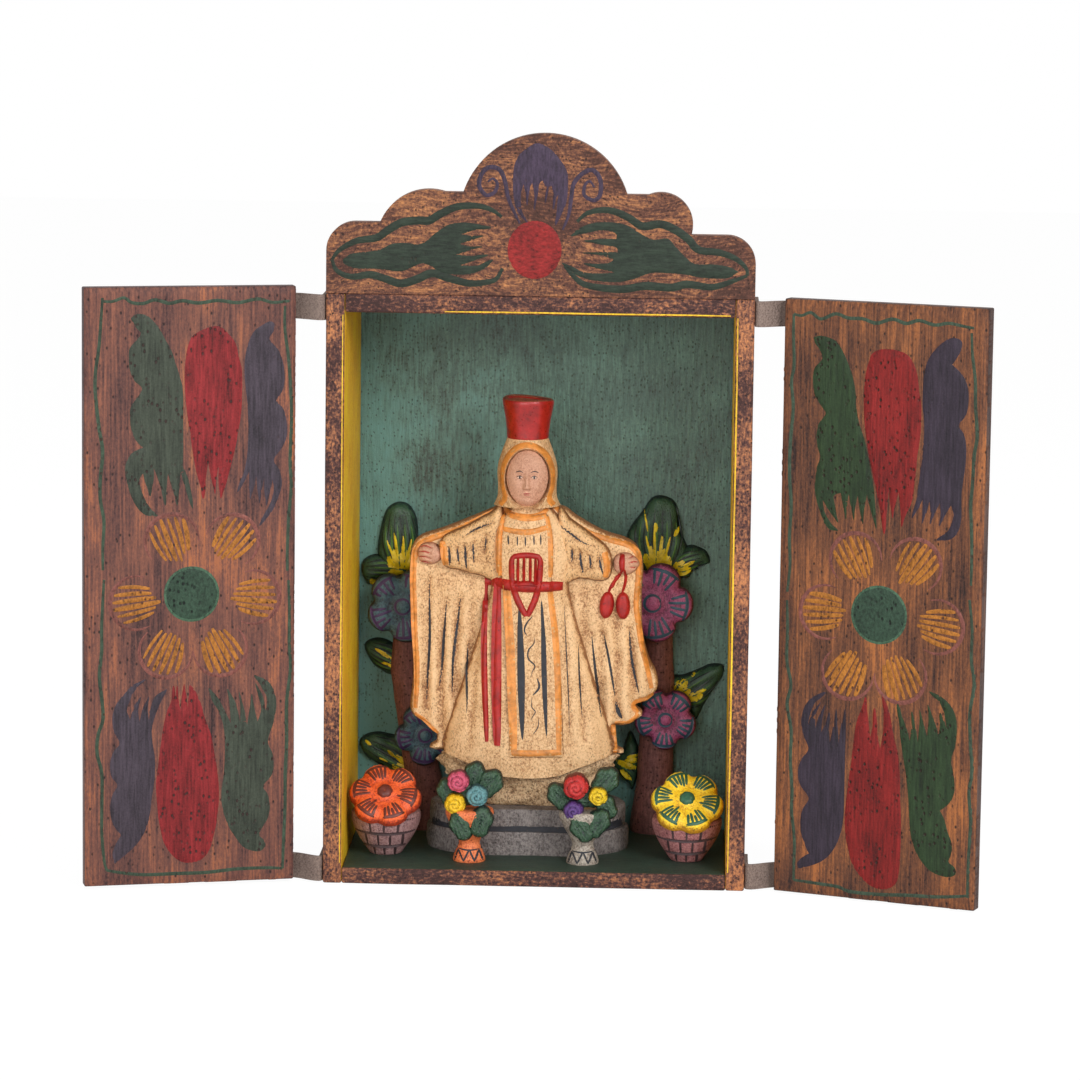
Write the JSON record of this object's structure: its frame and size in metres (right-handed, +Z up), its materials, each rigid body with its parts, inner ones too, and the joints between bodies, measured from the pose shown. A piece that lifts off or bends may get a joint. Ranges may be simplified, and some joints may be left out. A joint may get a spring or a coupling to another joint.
{
  "type": "retablo box",
  "caption": "Painted wooden box shrine with a scalloped crest, hinged doors on leather straps, and modelled paste figures and flowers fixed inside.",
  "frame": {"origin": "centre of the case's footprint on the surface it stands on", "axes": "+Z up; -Y out of the case's open front; +X to the right seen from the front"},
  "size_m": [0.3788, 0.1341, 0.321],
  "materials": {
    "dark_wood": "mottled dark stain over pale wood",
    "pale_wood": "thin worn stain",
    "steel": "dull",
    "leather": "suede",
    "grey_paste": "matte painted modelling paste",
    "cream_paste": "matte painted modelling paste, brown wash",
    "skin_paste": "matte painted modelling paste",
    "red_paste": "painted modelling paste",
    "green_paste": "painted modelling paste",
    "bark_paste": "painted modelling paste",
    "blue_paste": "painted modelling paste",
    "pink_paste": "painted modelling paste",
    "mauve_paste": "matte painted modelling paste",
    "orange_paste": "painted modelling paste",
    "yellow_paste": "painted modelling paste"
  },
  "bodies": {
    "box": {"left_side_board": "dark_wood", "right_side_board": "dark_wood", "top_board": "dark_wood", "bottom_board": "dark_wood", "back_panel": "dark_wood", "crest_board": "pale_wood", "crest_dowels": "pale_wood", "carcass_nails": "steel", "back_panel_nails": "steel", "left_upper_strap": "leather", "left_lower_strap": "leather", "right_upper_strap": "leather", "right_lower_strap": "leather", "box_tacks": "steel", "plinth_lower": "grey_paste", "plinth_upper": "grey_paste", "figure_mound": "cream_paste", "figure_robe": "cream_paste", "figure_mantle": "cream_paste", "figure_left_sleeve": "cream_paste", "figure_right_sleeve": "cream_paste", "figure_left_hand": "skin_paste", "figure_right_hand": "skin_paste", "figure_hood": "cream_paste", "figure_head": "skin_paste", "figure_crown": "red_paste", "figure_scapular": "cream_paste", "figure_belt": "red_paste", "figure_buckle": "red_paste", "figure_ribbons": "red_paste", "figure_tassel_cords": "red_paste", "figure_tassels": "red_paste", "left_trunk": "bark_paste", "left_plant_leaves": "green_paste", "left_upper_bloom": "blue_paste", "left_lower_bloom": "blue_paste", "right_trunk": "bark_paste", "right_plant_leaves": "green_paste", "right_upper_bloom": "pink_paste", "right_lower_bloom": "pink_paste", "left_pot": "mauve_paste", "left_pot_bloom": "orange_paste", "right_pot": "mauve_paste", "right_pot_bloom": "yellow_paste", "left_vase": "orange_paste", "left_vase_leaves": "green_paste", "left_vase_blooms": "pink_paste", "right_vase": "grey_paste", "right_vase_leaves": "green_paste", "right_vase_blooms": "pink_paste"},
    "left_door": {"left_door": "dark_wood", "left_door_tacks": "steel"},
    "right_door": {"right_door": "dark_wood", "right_door_tacks": "steel"}
  },
  "joints": [
    {"name": "left_door_hinge", "type": "hinge", "parent": "box", "child": "left_door", "pos_m": [-0.0962, -0.0497, 0.1265], "axis": [0, 0, 1], "range_deg": [-45.4, 164.6], "deforming": ["left_upper_strap", "left_lower_strap"]},
    {"name": "right_door_hinge", "type": "hinge", "parent": "box", "child": "right_door", "pos_m": [0.0962, -0.0497, 0.1265], "axis": [0, 0, -1], "range_deg": [-51.5, 158.5], "deforming": ["right_upper_strap", "right_lower_strap"]}
  ]
}
